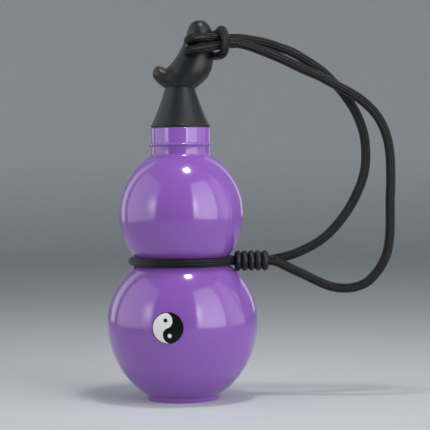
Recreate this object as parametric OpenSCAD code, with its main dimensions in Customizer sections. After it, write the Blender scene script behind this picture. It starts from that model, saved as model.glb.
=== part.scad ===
// A gourd-shaped water bottle: two bulbs joined by a waist, a screw cap whose
// handle is shaped like the gourd's stem, and a carrying cord with a slider.
// Millimetres. The bottle stands on z = 0 with its axis on z, and the cord
// hangs out towards +x. The front, with the round emblem, faces -y.

/* [Bottle] */

// Widest distance across the lower bulb
lower_bulb_d = 112; // [108:1:116]
// Height of the lower bulb's widest line
lower_bulb_z = 56.6; // [55:0.2:58]
// How much flatter than a ball the lower bulb's underside is
lower_flatten = 7.5; // [5:0.5:10]
// Widest distance across the upper bulb
upper_bulb_d = 93; // [90:1:96]
// Height of the upper bulb's widest line
upper_bulb_z = 138.7; // [137:0.1:141]
// How much flatter than a ball the upper bulb is
upper_flatten = 4; // [2:0.5:6]
// Radius of the hollow curve at the waist
waist_fillet = 2.5; // [2:0.5:4]
// Outside diameter of the neck
neck_d = 44.4; // [43:0.2:46]
// Height of the neck's rim above the table
rim_z = 202.2; // [200:0.2:204]
// Radius of the hollow curve under the neck
neck_fillet = 3; // [2:0.5:4]
// Height of the bead around the neck
bead_z = 189.8; // [188:0.2:192]
// Wall thickness of the bottle
wall = 2.4; // [2:0.1:2.8]
// Outside diameter of the foot ring
foot_d = 54; // [50:1:56]
// How far the base is raised inside the foot ring
foot_recess = 3; // [2:0.5:4]

/* [Screw cap] */

// Rise of the cap in one turn
thread_pitch = 4; // [3.6:0.1:4.4]
// How far each thread ridge stands out
thread_depth = 1.2; // [1:0.1:1.3]
// Turns of thread on the plug and in the neck
thread_turns = 1.8; // [1.4:0.1:2]
// Gap between the plug's thread and the neck's bore
thread_gap = 0.3; // [0.2:0.05:0.4]
// Thickness of the sealing ring
seal_t = 0.8; // [0.6:0.1:1.2]
// Height of the cap's cone
cone_h = 31.5; // [30:0.5:33]
// Diameter of the cone's flat top, hidden in the stem
cone_top_d = 20.8; // [20:0.2:21.4]
// Radius of the cone's hollow side curve
cone_side_r = 200; // [180:5:260]
// Wall thickness of the cone
cone_wall = 2; // [1.8:0.1:2.4]
// Diameter of the screw that holds the stem
screw_d = 3.6; // [3:0.1:4]
// Height of the stem's strap hole above the cone's top
strap_hole_z = 27.6; // [27.4:0.1:27.8]

/* [Cord] */

// Diameter of the braided cord
cord_d = 7; // [6.6:0.1:7.2]
// Diameter of the cord where the hitch pulls it tight
hitch_d = 6; // [5.6:0.1:6.1]
// Diameter of the cord where it is pulled into the waist
waist_cord_d = 6.4; // [6:0.1:6.8]
// How far the cord bends out of the waist groove
waist_bend_r = 9; // [8.5:0.1:9.5]

/* [Slider] */

// Number of ribs on the slider
rib_count = 5; // [4:1:5]
// Distance from rib to rib
rib_pitch = 5.04; // [4.9:0.02:5.2]
// Gap between the slider's first rib and the lower bulb
slider_clear = 0.15; // [0.1:0.05:0.5]
// Gap between the cord and the slider's hole
slider_gap = 0.25; // [0.15:0.05:0.35]
// Wall between the slider's hole and its rib valleys
slider_wall = 1.25; // [1.2:0.05:1.6]
// How far the slider sags below the waist groove
slider_drop = 0.5; // [0:0.25:1]

/* [Emblem] */

// Diameter of the round emblem
emblem_d = 22.8; // [20:0.2:24]
// Height of the emblem's centre
emblem_z = 58; // [56:0.5:62]
// Turn of the emblem around the bottle, from the front
emblem_turn = -10; // [-12:1:12]
// Lean of the emblem against the clock, seen from the front
emblem_lean = 15; // [0:1:30]
// Thickness of the printed emblem
emblem_t = 0.3; // [0.2:0.05:0.4]

/* [Hidden] */

purple = [0.42, 0.27, 0.62];
charcoal = [0.12, 0.12, 0.13];
black = [0.05, 0.05, 0.06];
white = [0.88, 0.87, 0.84];
steel = [0.7, 0.7, 0.72];

// small helpers
function unit(v) = v / norm(v);
function arc(c, r, a, b, n) = [
  for (k = [0 : n]) let (t = a + (b - a) * k / n) c + r * [cos(t), sin(t)]
];

// the right-hand meeting point of two circles in the half section
function circle_meet(c, rc, d, rd) =
  let (
    w = norm(d - c),
    u = (d - c) / w,
    a = (rc * rc - rd * rd + w * w) / (2 * w),
    h = sqrt(rc * rc - a * a)
  )
  c + u * a + [u[1], -u[0]] * h;

// bulbs, waist and neck
lower_r = lower_bulb_d / 2;
lower_c = [0, lower_bulb_z];
under_c = [-lower_flatten, lower_bulb_z];
under_r = lower_r + lower_flatten;
upper_c = [-upper_flatten, upper_bulb_z];
upper_r = upper_bulb_d / 2 + upper_flatten;
waist_c = circle_meet(lower_c, lower_r + waist_fillet, upper_c, upper_r + waist_fillet);
bead_r = 1.1;
bead_out = 0.5;
foot_round = 0.8;
foot_h = 6;
neck_r = neck_d / 2;
bore_r = neck_r - wall;
neck_run = upper_r + neck_fillet;
neck_out = neck_r + neck_fillet + upper_flatten;
neck_c = [neck_r + neck_fillet, upper_bulb_z + sqrt(neck_run * neck_run - neck_out * neck_out)];
foot_r = foot_d / 2;

// thread, plug and sealing ring
thread_tip_r = bore_r - thread_depth;
plug_thread_r = bore_r - thread_gap;
plug_core_r = plug_thread_r - thread_depth;
thread_low = rim_z - 2.4 - thread_pitch * thread_turns;
ridge_foot = 0.8;
ridge_top = 0.45;
ridge_sink = 0.5;
ridge_steps = 36;
plug_low = thread_low - thread_pitch / 2;
plug_bottom = plug_low - 1.6;
plug_wall = 2;
seal_top = rim_z + seal_t;
seal_seat = 0.02;
seal_outer_r = neck_r - 0.6;
seal_inner_r = plug_core_r + 0.3;
flange_r = plug_core_r + 1.1;
flange_h = 2;

// cone of the cap
cone_z = seal_top;
cone_top_z = cone_z + cone_h;
cone_foot_r = neck_r - 0.2;
cone_top_r = cone_top_d / 2;
cone_a = [cone_foot_r, cone_z];
cone_b = [cone_top_r, cone_top_z];
cone_half = norm(cone_b - cone_a) / 2;
cone_out = unit([cone_h, cone_foot_r - cone_top_r]);
cone_c = (cone_a + cone_b) / 2 + cone_out * sqrt(cone_side_r * cone_side_r - cone_half * cone_half);
cone_top_wall = 3;
lip_out = 0.2;
lip_h = 1.6;
socket_gap = 0.12;
socket_z = cone_z + 12;
screw_r = screw_d / 2;
screw_head_r = 3.4;
screw_head_h = 2.4;
screw_grip = 10;
drive_long = 4;
drive_wide = 0.8;

// stem: each row is one ring, as its upper left point and its lower right
// point in the side view (x and height above the cone's top), then the half
// depth from front to back
stem_rings = [
  [-20.2, 8.6, -20.2, 7.6, 1.2],
  [-19.6, 11.0, -19.8, 5.4, 4.6],
  [-17.8, 13.2, -17.8, 2.8, 7.4],
  [-15.6, 14.0, -15.4, 0.4, 8.8],
  [-12.8, 13.2, -11.6, -2.4, 9.8],
  [-10.6, 12.2, -6.6, -5.0, 11.0],
  [-8.8, 13.0, -0.5, -6.8, 12.4],
  [-7.0, 14.6, 6.5, -6.6, 13.4],
  [-5.2, 16.8, 13.6, -1.4, 14.0],
  [-3.4, 19.2, 19.7, 3.8, 14.0],
  [-1.4, 22.0, 23.1, 9.8, 13.4],
  [0.3, 25.0, 24.9, 15.8, 12.4],
  [1.8, 28.0, 25.4, 22.0, 11.4],
  [3.2, 31.0, 25.4, 27.0, 10.7],
  [4.4, 34.0, 25.1, 32.0, 10.3],
  [5.2, 37.0, 24.8, 36.5, 10.1],
  [6.0, 40.0, 24.1, 40.0, 9.7],
  [7.3, 43.0, 22.8, 43.0, 8.6],
  [9.2, 45.4, 20.8, 45.4, 6.8],
  [11.4, 46.8, 18.6, 46.8, 4.4],
  [13.8, 47.4, 16.0, 47.4, 1.6]
];
stem_sides = 28;
stem_steps = 2;

// strap hole through the stem, centres of its two round ends
strap_hole_r = 3.5;
strap_hole_lean = 25;
strap_hole_half = 3.9;
strap_hole_x = 7.6;
strap_dir = [sin(strap_hole_lean), cos(strap_hole_lean)];
hole_top = [strap_hole_x, strap_hole_z] + strap_dir * strap_hole_half;
hole_low = [strap_hole_x, strap_hole_z] - strap_dir * strap_hole_half;

// slider, and the cord's two lines through it
cord_r = cord_d / 2;
line_y = cord_r + 0.3;
waist_gap = 0.25;
waist_grip = waist_cord_d / 2 + waist_gap;
waist_cord_c = circle_meet(lower_c, lower_r + waist_grip, upper_c, upper_r + waist_grip);
waist_cord_r = waist_cord_c[0];
waist_cord_z = waist_cord_c[1];
slider_z = waist_cord_z - slider_drop;
slot_r = cord_r + slider_gap;
core_r = slot_r + slider_wall;
rib_r = rib_pitch / 2;
rib_reach = lower_r + rib_r + slider_clear;
rib_rise = slider_z - core_r - lower_bulb_z;
slider_x = sqrt(rib_reach * rib_reach - rib_rise * rib_rise) - rib_r;
slider_end = slider_x + rib_count * rib_pitch;
leg_y = line_y + waist_bend_r;
leg_run = waist_cord_r + waist_bend_r;
bend_x = sqrt(leg_run * leg_run - leg_y * leg_y);
bend_a = atan2(leg_y, bend_x);
leg_x = bend_x + cord_d;
mouth_a = asin((bend_x - slider_x) / waist_bend_r);
mouth_y = leg_y - waist_bend_r * cos(mouth_a);
mouth_r = slot_r + 0.6;
mouth_depth = 4.4;

// cord routes: x, y and height, hand placed. The first points count from the
// slider's height, the last from the cone's top; those between share both.
front_points = [
  [64.6, -3.8, 0], [70.5, -4.0, -1.0], [77, -4.0, -4.0], [84, -4.5, -7.5], [92.5, -4.5, -11.5],
  [101.5, -4.5, -16.0], [110, -4.5, -19.5], [119, -5.0, -21.0], [128, -5.0, -20.5],
  [137, -5.5, -17.0], [143.5, -5.5, -11.0], [148.5, -6.0, -4.0], [152.5, -6.0, 5.0],
  [154.5, -6.5, 17.0], [155, -7.0, 30.5], [155, -7.5, 43.5], [155.5, -8.0, 55.5],
  [155.5, -8.5, 67.5], [155, -8.5, 79.5], [153, -9.0, 90.5], [149.5, -9.5, 100],
  [144, -9.5, 109], [136, -10, 117], [127.5, -10.5, 123], [118.5, -10.5, 128],
  [104, -11, 136], [95, -11.5, 140], [86.5, -11.5, 144], [77.5, -11.5, 148.5],
  [68.5, -11.5, 152.5], [60, -12, 156], [52, -12, 159], [44, -12, 161.2]
];
back_points = [
  [64.6, 3.8, 0], [70.5, 3.8, 1.0], [76, 3.5, 2.2], [82, 3.5, 3.7], [88.5, 3.5, 6.2],
  [97.5, 3.5, 10.5], [106, 3.5, 16.0], [113.5, 3.0, 23.0], [121, 2.5, 32.0],
  [127, 2.5, 41.0], [131.5, 2.0, 50.0], [135, 2.0, 58.5], [137.5, 1.5, 69.0],
  [138, 1.0, 79.5], [137, 0.5, 91.5], [133.5, 0, 103.5], [128, -0.5, 114.5],
  [121, -1.0, 124.5], [114, -1.5, 132.5], [108, -2.0, 138.5], [101, -2.5, 144],
  [92.5, -3.0, 149.5], [84, -3.5, 154.5], [75, -4.0, 158], [66.5, -4.0, 161],
  [59, -4.5, 162.8], [51.5, -5.0, 164.2], [44, -5.6, 165.3]
];
rise = 132;

// hitch route: x, y and height above the cone's top, from the back strand,
// across the stem's front, through the strap hole, round behind and over as
// a collar, back behind, through the hole and across the front again
hitch_points = [
  [44, -5.6, 33.3], [36.5, -6.4, 33.3], [32, -8, 33.2], [27, -11, 33.9], [21, -13, 34.3],
  [14.5, -13.8, 34.2], [10.4, -13.9, 33.6], [8.6, -12, 32.2], [9, -8, 31.3], [9.2, 0, 31.1],
  [9.2, 9, 31.1], [10.4, 13, 31.4], [14, 14.2, 32.2], [19, 13.6, 34.2], [24, 10, 36.6],
  [28, 5.5, 38.2], [30, 0, 39.6], [31, -6, 40.5], [32.2, -11.6, 39.4], [33.4, -16.2, 35.7],
  [34.2, -18.8, 31.6], [34, -19.1, 27.4], [32.9, -17.2, 22], [31.4, -12, 20.2],
  [30.2, -6, 20.2], [29.6, 0, 20.6], [28, 6.4, 21], [23.6, 12, 21.8], [17, 15.2, 22.8],
  [10.6, 16.2, 23.4], [6.6, 14, 24], [6, 9.4, 24.1], [6, 0, 24.1], [6, -9, 24.1],
  [6.4, -13.6, 24.2], [9.6, -15.6, 24.4], [14, -15.6, 24.9], [20, -15.1, 25.6], [26, -13.7, 26.8],
  [31, -12.7, 27.8], [36.5, -12.2, 29], [44, -12, 29.2]
];

// the direction of a route at each of its points
function run_at(p, i) = unit(p[min(i + 1, len(p) - 1)] - p[max(i - 1, 0)]);
function runs(p, first, last) = [
  for (i = [0 : len(p) - 1]) i == 0 ? unit(first) : i == len(p) - 1 ? unit(last) : run_at(p, i)
];
// side vectors carried along a route without twist
function carried(n, t) = unit(n - t * (n * t));
function sides(t, n0) = [
  for (i = 0, n = carried(n0, t[0]); i < len(t);
       i = i + 1, n = i < len(t) ? carried(n, t[i]) : n) n
];
// the rings of a round tube
function tube_rings(p, t, n, r, count) = [
  for (i = [0 : len(p) - 1]) let (b = cross(t[i], n[i]))
    for (j = [0 : count - 1]) let (a = 360 * (j + 0.5) / count)
      p[i] + r[i] * (cos(a) * n[i] + sin(a) * b)
];
// the faces of a closed skin over rows of points
function skin(rows, count) = concat(
  [[for (j = [0 : count - 1]) j]],
  [for (i = [0 : rows - 2]) for (j = [0 : count - 1])
    [i * count + j, (i + 1) * count + j, (i + 1) * count + (j + 1) % count]],
  [for (i = [0 : rows - 2]) for (j = [0 : count - 1])
    [i * count + j, (i + 1) * count + (j + 1) % count, i * count + (j + 1) % count]],
  [[for (j = [count - 1 : -1 : 0]) (rows - 1) * count + j]]
);
function reversed(f) = [for (m = [len(f) - 1 : -1 : 0]) f[m]];
// a smooth curve through rows of numbers
function between(a, b, c, d, t) =
  0.5 * (2 * b + (c - a) * t + (2 * a - 5 * b + 4 * c - d) * t * t + (3 * b - a - 3 * c + d) * t * t * t);
function smooth_rows(p, n) = concat(
  [for (i = [0 : len(p) - 2]) for (k = [0 : n - 1])
    between(p[max(i - 1, 0)], p[i], p[i + 1], p[min(i + 2, len(p) - 1)], k / n)],
  [p[len(p) - 1]]
);
// a strand's points: its start follows the slider, its end follows the stem
function strand(p) = let (lift = cone_top_z - slider_z - rise) [
  for (i = [0 : len(p) - 1]) [
    i == 0 ? slider_end : p[i][0],
    i == 0 ? sign(p[0][1]) * line_y : p[i][1],
    slider_z + p[i][2] + lift * i / (len(p) - 1)
  ]
];
// the hitch thickens to the full cord at both ends
function hitch_r(i, n) = hitch_d / 2 + (cord_r - hitch_d / 2) * max(0, 1 - min(i, n - 1 - i) / 3);

front_run = strand(front_points);
back_run = strand(back_points);
hitch_run = [for (q = hitch_points) [q[0], q[1], q[2] + cone_top_z]];
hitch_last = len(hitch_run) - 1;
back_end = hitch_run[0] - hitch_run[1];
front_end = hitch_run[hitch_last - 1] - hitch_run[hitch_last];

// the least gap of a tube to itself, measured on points along its route
function fine(p) = [
  for (i = [0 : len(p) - 2]) for (k = [0 : 3]) p[i] + (p[i + 1] - p[i]) * k / 4
];
function least_gap(p, d, apart) = let (q = fine(p), n = len(q)) min([
  for (i = [0 : n - 1]) for (j = [i + apart : 1 : n - 1]) norm(q[i] - q[j])
]) - d;
waist_turn = [for (k = [0 : 24]) let (a = bend_a + (360 - 2 * bend_a) * k / 24)
  [waist_cord_r * cos(a), waist_cord_r * sin(a), waist_cord_z]];
leg_bend = [for (k = [0 : 3]) let (a = 270 - (90 - bend_a) * k / 4)
  [bend_x + waist_bend_r * cos(a), leg_y + waist_bend_r * sin(a), slider_z + slider_drop * k / 4]];
waist_run = concat(
  [[leg_x, line_y, slider_z]],
  leg_bend,
  waist_turn,
  [for (k = [3 : -1 : 0]) [leg_bend[k][0], -leg_bend[k][1], leg_bend[k][2]]],
  [[leg_x, -line_y, slider_z]]
);
// the waist turn thins from the full cord at both ends
function waist_turn_r(i, n) = cord_r - (cord_d - waist_cord_d) / 2 * min(1, min(i, n - 1 - i) / 4);
echo(least_waist_gap = least_gap(waist_run, cord_d, 16));
echo(least_hitch_gap = least_gap(hitch_run, hitch_d, 16));

module tube(p, first, last, r, count) {
  t = runs(p, first, last);
  polyhedron(tube_rings(p, t, sides(t, [0, 1, 0]), r, count), skin(len(p), count), convexity = 8);
}

// half section of the closed bottle body, drawn in by g
module body_half(g) {
  difference() {
    union() {
      intersection() {
        translate(under_c) circle(r = under_r - g, $fn = 160);
        translate([-200, 0]) square([400, lower_bulb_z]);
      }
      intersection() {
        translate(lower_c) circle(r = lower_r - g, $fn = 160);
        translate([-200, lower_bulb_z]) square([400, 200]);
      }
      translate(upper_c) circle(r = upper_r - g, $fn = 160);
      difference() {
        polygon([[-1, lower_bulb_z], lower_c, waist_c, upper_c, [-1, upper_bulb_z]]);
        translate(waist_c) circle(r = waist_fillet + g, $fn = 80);
      }
      difference() {
        polygon([[-1, upper_bulb_z], upper_c, neck_c, [-1, neck_c[1]]]);
        translate(neck_c) circle(r = neck_fillet + g, $fn = 80);
      }
      translate([-1, neck_c[1] - 1]) square([neck_r - g + 1, rim_z - neck_c[1] + 1]);
    }
    translate([-400, -100]) square([400, 500]);
  }
}

// one helical ridge: radii at root and tip, start height
module ridge(root_r, tip_r, z0) {
  count = round(ridge_steps * thread_turns);
  rows = [for (k = [0 : count]) let (a = 360 * k / ridge_steps, z = z0 + thread_pitch * a / 360) [
    [root_r * cos(a), root_r * sin(a), z - ridge_foot],
    [tip_r * cos(a), tip_r * sin(a), z - ridge_top],
    [tip_r * cos(a), tip_r * sin(a), z + ridge_top],
    [root_r * cos(a), root_r * sin(a), z + ridge_foot]
  ]];
  pts = [for (row = rows) for (q = row) q];
  faces = skin(count + 1, 4);
  inward = root_r > tip_r;
  polyhedron(pts, inward ? faces : [for (f = faces) reversed(f)], convexity = 10);
}

// half section of the cap's cone, grown by g and cut off at a height
module cone_half_section(g, top) {
  difference() {
    intersection() {
      translate([0, cone_z]) square([40, top - cone_z]);
      polygon([
        [0, cone_z - 1],
        cone_a + [g + 3, -1],
        cone_a + [g + 3, 0],
        cone_b + [g + 3, 0],
        cone_b + [g + 3, 20],
        [0, cone_top_z + 20]
      ]);
    }
    translate(cone_c) circle(r = cone_side_r - g, $fn = 720);
  }
}

module bottle_shell() color(purple) {
  rotate_extrude($fn = 120) difference() {
    union() {
      difference() {
        body_half(0);
        square([foot_r, foot_h]);
      }
      polygon([[0, 0], [foot_r - foot_round, 0], [foot_r, foot_round], [foot_r, foot_h], [0, foot_h]]);
      translate([neck_r + bead_out, bead_z]) circle(r = bead_r, $fn = 24);
    }
    square([foot_r - wall, foot_recess]);
    difference() {
      body_half(wall);
      square([200, foot_recess + wall]);
    }
    translate([0, neck_c[1]]) square([bore_r, 100]);
  }
  ridge(bore_r + ridge_sink, thread_tip_r, thread_low);
}

module seal_ring() color(black) {
  translate([0, 0, rim_z + seal_seat]) difference() {
    cylinder(h = seal_t - seal_seat, r = seal_outer_r, $fn = 96);
    translate([0, 0, -1]) cylinder(h = seal_t + 2, r = seal_inner_r, $fn = 96);
  }
}

module cap_plug() color(charcoal) {
  difference() {
    union() {
      translate([0, 0, plug_bottom]) cylinder(h = seal_top - plug_bottom, r = plug_core_r, $fn = 96);
      translate([0, 0, seal_top]) cylinder(h = flange_h, r = flange_r, $fn = 96);
    }
    translate([0, 0, plug_bottom + plug_wall]) cylinder(h = 40, r = plug_core_r - plug_wall, $fn = 96);
  }
  ridge(plug_core_r - ridge_sink, plug_thread_r, plug_low);
}

module cap_cone() color(charcoal) {
  rotate_extrude($fn = 120) difference() {
    union() {
      cone_half_section(0, cone_top_z);
      translate([0, cone_z]) polygon([
        [0, 0],
        [cone_foot_r - lip_out, 0],
        [cone_foot_r + lip_out, lip_h * 0.3],
        [cone_foot_r + lip_out, lip_h * 0.7],
        [0, lip_h]
      ]);
    }
    difference() {
      cone_half_section(-cone_wall, cone_top_z - cone_top_wall);
      square([40, cone_z + flange_h]);
    }
    translate([0, cone_z - 1]) square([flange_r, flange_h + 1]);
    square([screw_r + 0.3, 400]);
  }
}

module stem_body() {
  rows = smooth_rows(stem_rings, stem_steps);
  pts = [for (q = rows)
    let (m = [(q[0] + q[2]) / 2, (q[1] + q[3]) / 2], h = [(q[2] - q[0]) / 2, (q[3] - q[1]) / 2])
    for (j = [0 : stem_sides - 1]) let (a = 360 * j / stem_sides)
      [m[0] + h[0] * cos(a), q[4] * sin(a), cone_top_z + m[1] + h[1] * cos(a)]];
  polyhedron(pts, skin(len(rows), stem_sides), convexity = 6);
}

module strap_hole() {
  translate([0, 30, cone_top_z]) rotate([90, 0, 0]) linear_extrude(height = 60) polygon(concat(
    arc(hole_top, strap_hole_r, -strap_hole_lean, 180 - strap_hole_lean, 16),
    arc(hole_low, strap_hole_r, 180 - strap_hole_lean, 360 - strap_hole_lean, 16)
  ));
}

module cap_stem() color(charcoal) {
  difference() {
    stem_body();
    rotate_extrude($fn = 120) difference() {
      cone_half_section(socket_gap, cone_top_z);
      square([40, socket_z]);
    }
    strap_hole();
    translate([0, 0, cone_top_z - 1]) cylinder(h = screw_grip + 3, r = screw_r, $fn = 32);
  }
}

module stem_screw() color(steel) {
  translate([0, 0, cone_top_z - cone_top_wall])
    cylinder(h = cone_top_wall + screw_grip, r = screw_r, $fn = 32);
  translate([0, 0, cone_top_z - cone_top_wall - screw_head_h]) difference() {
    cylinder(h = screw_head_h, r = screw_head_r, $fn = 48);
    for (a = [0, 90]) rotate([0, 0, a])
      translate([-drive_long / 2, -drive_wide / 2, -1]) cube([drive_long, drive_wide, screw_head_h / 2 + 1]);
  }
}

module cord_hitch() color(black) {
  n = len(hitch_run);
  tube(hitch_run, -back_end, -front_end, [for (i = [0 : n - 1]) hitch_r(i, n)], 10);
}

module cord_front() color(black) {
  p = concat([[leg_x, -line_y, slider_z]], front_run);
  tube(p, [1, 0, 0], front_end, [for (q = p) cord_r], 10);
}

module cord_back() color(black) {
  p = concat([[leg_x, line_y, slider_z]], back_run);
  tube(p, [1, 0, 0], back_end, [for (q = p) cord_r], 10);
}

module cord_waist() color(black) {
  n = len(waist_run);
  tube(waist_run, [-1, 0, 0], [1, 0, 0], [for (i = [0 : n - 1]) waist_turn_r(i, n)], 10);
}

// one rib: a rounded band around the slider's oblong core
module rib() {
  for (s = [-1, 1]) translate([0, s * line_y, 0]) rotate([0, 90, 0]) rotate([0, 0, s * 90])
    rotate([0, 0, -90]) rotate_extrude(angle = 180, $fn = 64) intersection() {
      translate([core_r, 0]) circle(r = rib_r, $fn = 32);
      translate([core_r - 0.6, -5]) square([10, 10]);
    }
  for (s = [-1, 1]) translate([0, -line_y, s * core_r]) rotate([-90, 0, 0])
    cylinder(h = 2 * line_y, r = rib_r, $fn = 32);
}

module oblong(r, x0, x1) {
  for (s = [-1, 1]) translate([x0, s * line_y, 0]) rotate([0, 90, 0]) cylinder(h = x1 - x0, r = r, $fn = 64);
  translate([x0, -line_y, -r]) cube([x1 - x0, 2 * line_y, 2 * r]);
}

// the slider's flared mouth: each side opens along the bend of its cord leg
module mouth() {
  for (s = [-1, 1]) translate([slider_x, s * mouth_y, 0]) rotate([0, 0, -s * mouth_a])
    rotate([0, 90, 0]) translate([0, 0, -mouth_depth]) cylinder(h = 2 * mouth_depth, r = mouth_r, $fn = 64);
}

module cord_slider() color(black) {
  translate([0, 0, slider_z]) difference() {
    union() {
      oblong(core_r, slider_x, slider_end);
      for (k = [0 : rib_count - 1]) translate([slider_x + rib_pitch * (k + 0.5), 0, 0]) rib();
    }
    oblong(slot_r, slider_x - 1, slider_end + 1);
    mouth();
  }
}

emblem_r = emblem_d / 2;
emblem_edge = 0.5;
emblem_lift = 0.03;
dot_r = emblem_r * 0.13;

// outline of the emblem's light comma: round the left side, then back along
// two half ovals, each a little too long to touch the rim edge-on
function oval(w, h, s, a, b, n) = [for (p = arc([0, 0], 1, a, b, n)) [w * p[0], s + h * p[1]]];
function comma(r) = let (
  w = 0.45 * r,
  h = r / 2 + 0.12,
  q = 1 - w * w / (h * h),
  rise = (sqrt(h * h - q * (h * h + w * w - r * r)) - h) / q,
  tip_a = atan2(h + rise, w * sqrt(1 - rise * rise / (h * h))),
  sweep_a = asin(rise / h)
) concat(
  arc([0, 0], r, tip_a, tip_a + 180, 32),
  inner(oval(w, h, -h, 180 + sweep_a, 90, 16)),
  [[0, 0]],
  inner(oval(w, h, h, -90, sweep_a, 16))
);
function inner(p) = [for (i = [1 : len(p) - 2]) p[i]];

module emblem_on_bulb() {
  intersection() {
    rotate_extrude($fn = 120) intersection() {
      difference() {
        body_half(-emblem_t - emblem_lift);
        body_half(-emblem_lift);
      }
      translate([0, emblem_z - emblem_r - 2]) square([lower_bulb_d, emblem_d + 4]);
    }
    rotate([0, 0, emblem_turn]) translate([0, 0, emblem_z]) rotate([90, 0, 0])
      linear_extrude(height = 80) rotate([0, 0, emblem_lean]) children();
  }
}

module emblem_light() color(white) {
  emblem_on_bulb() difference() {
    polygon(comma(emblem_r - emblem_edge));
    translate([0, emblem_r / 2]) circle(r = dot_r, $fn = 32);
  }
  emblem_on_bulb() translate([0, -emblem_r / 2]) circle(r = dot_r, $fn = 32);
}

module emblem_dark() color(black) {
  emblem_on_bulb() difference() {
    circle(r = emblem_r, $fn = 96);
    polygon(comma(emblem_r - emblem_edge));
    translate([0, -emblem_r / 2]) circle(r = dot_r, $fn = 32);
  }
  emblem_on_bulb() translate([0, emblem_r / 2]) circle(r = dot_r, $fn = 32);
}

bottle_shell();
emblem_light();
emblem_dark();
seal_ring();
cap_plug();
cap_cone();
cap_stem();
stem_screw();
cord_hitch();
cord_front();
cord_back();
cord_waist();
cord_slider();
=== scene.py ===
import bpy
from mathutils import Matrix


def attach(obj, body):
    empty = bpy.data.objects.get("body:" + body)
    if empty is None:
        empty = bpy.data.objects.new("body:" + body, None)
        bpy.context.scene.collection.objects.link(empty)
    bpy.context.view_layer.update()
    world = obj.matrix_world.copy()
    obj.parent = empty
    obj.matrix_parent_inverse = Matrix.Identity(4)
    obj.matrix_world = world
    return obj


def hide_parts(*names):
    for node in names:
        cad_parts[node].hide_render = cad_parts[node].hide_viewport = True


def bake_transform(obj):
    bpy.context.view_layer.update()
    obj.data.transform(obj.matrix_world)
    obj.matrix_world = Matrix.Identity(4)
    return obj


bl_info = {
    "name": "Gourd Water Bottle",
    "version": (1, 0, 0),
    "blender": (4, 5, 0),
    "location": "View3D > Sidebar > Gourd Bottle",
    "description": "Builds a gourd-shaped water bottle with its stem cap, carrying cord and slider",
    "category": "Add Mesh",
}

import math

import bmesh
import bpy
from bpy.props import FloatProperty, FloatVectorProperty, IntProperty, PointerProperty
from mathutils import Matrix, Vector

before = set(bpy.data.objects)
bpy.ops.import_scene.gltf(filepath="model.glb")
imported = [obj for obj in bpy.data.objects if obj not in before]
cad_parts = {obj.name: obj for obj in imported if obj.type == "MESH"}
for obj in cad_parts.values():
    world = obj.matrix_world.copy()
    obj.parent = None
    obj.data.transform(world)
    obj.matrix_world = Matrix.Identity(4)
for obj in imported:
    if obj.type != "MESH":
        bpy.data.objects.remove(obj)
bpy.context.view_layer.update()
MM = 0.001

# The bottle's own measures, in millimetres, as in the part's source
LOWER_R, LOWER_Z, LOWER_FLAT = 56.0, 56.6, 7.5
UPPER_R, UPPER_Z, UPPER_FLAT = 46.5, 138.7, 4.0
WAIST_FILLET, NECK_R, NECK_FILLET = 2.5, 22.2, 3.0
RIM_Z, BEAD_Z, WALL = 202.2, 189.8, 2.4
FOOT_R, FOOT_RECESS = 27.0, 3.0
CONE_Z, CONE_H, CONE_FOOT_R, CONE_TOP_R, CONE_SIDE_R = 203.0, 31.5, 22.0, 10.4, 200.0
STEM_Z = CONE_Z + CONE_H
CORD_R, HITCH_R, WAIST_CORD_R = 3.5, 3.3, 3.2
LINE_Y = 3.8


def circle_meet(c, rc, d, rd):
    """The right-hand meeting point of two circles in the half section."""
    w = math.dist(c, d)
    u = ((d[0] - c[0]) / w, (d[1] - c[1]) / w)
    a = (rc * rc - rd * rd + w * w) / (2 * w)
    h = math.sqrt(rc * rc - a * a)
    return (c[0] + u[0] * a + u[1] * h, c[1] + u[1] * a - u[0] * h)


UNDER_C, UNDER_R = (-LOWER_FLAT, LOWER_Z), LOWER_R + LOWER_FLAT
LOWER_C = (0.0, LOWER_Z)
UPPER_C, UPPER_ARC = (-UPPER_FLAT, UPPER_Z), UPPER_R + UPPER_FLAT
WAIST_C = circle_meet(LOWER_C, LOWER_R + WAIST_FILLET, UPPER_C, UPPER_ARC + WAIST_FILLET)
_GRIP = WAIST_CORD_R + 0.25
TURN_R, TURN_Z = circle_meet(LOWER_C, LOWER_R + _GRIP, UPPER_C, UPPER_ARC + _GRIP)
_RUN = UPPER_ARC + NECK_FILLET
_OUT = NECK_R + NECK_FILLET + UPPER_FLAT
NECK_C = (NECK_R + NECK_FILLET, UPPER_Z + math.sqrt(_RUN * _RUN - _OUT * _OUT))
SLIDER_Z = TURN_Z - 0.5
RIB_PITCH, RIB_COUNT, CORE_R, SLIDER_CLEAR = 5.04, 5, 5.0, 0.15
SLIDER_X = math.sqrt((LOWER_R + RIB_PITCH / 2 + SLIDER_CLEAR) ** 2
                     - (SLIDER_Z - CORE_R - LOWER_Z) ** 2) - RIB_PITCH / 2
SLIDER_END = SLIDER_X + RIB_PITCH * RIB_COUNT
BEND_R = 9.0
LEG_Y = LINE_Y + BEND_R
BEND_X = math.sqrt((TURN_R + BEND_R) ** 2 - LEG_Y ** 2)
BEND_A = math.atan2(LEG_Y, BEND_X)
LEG_X = BEND_X + 2 * CORD_R

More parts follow.
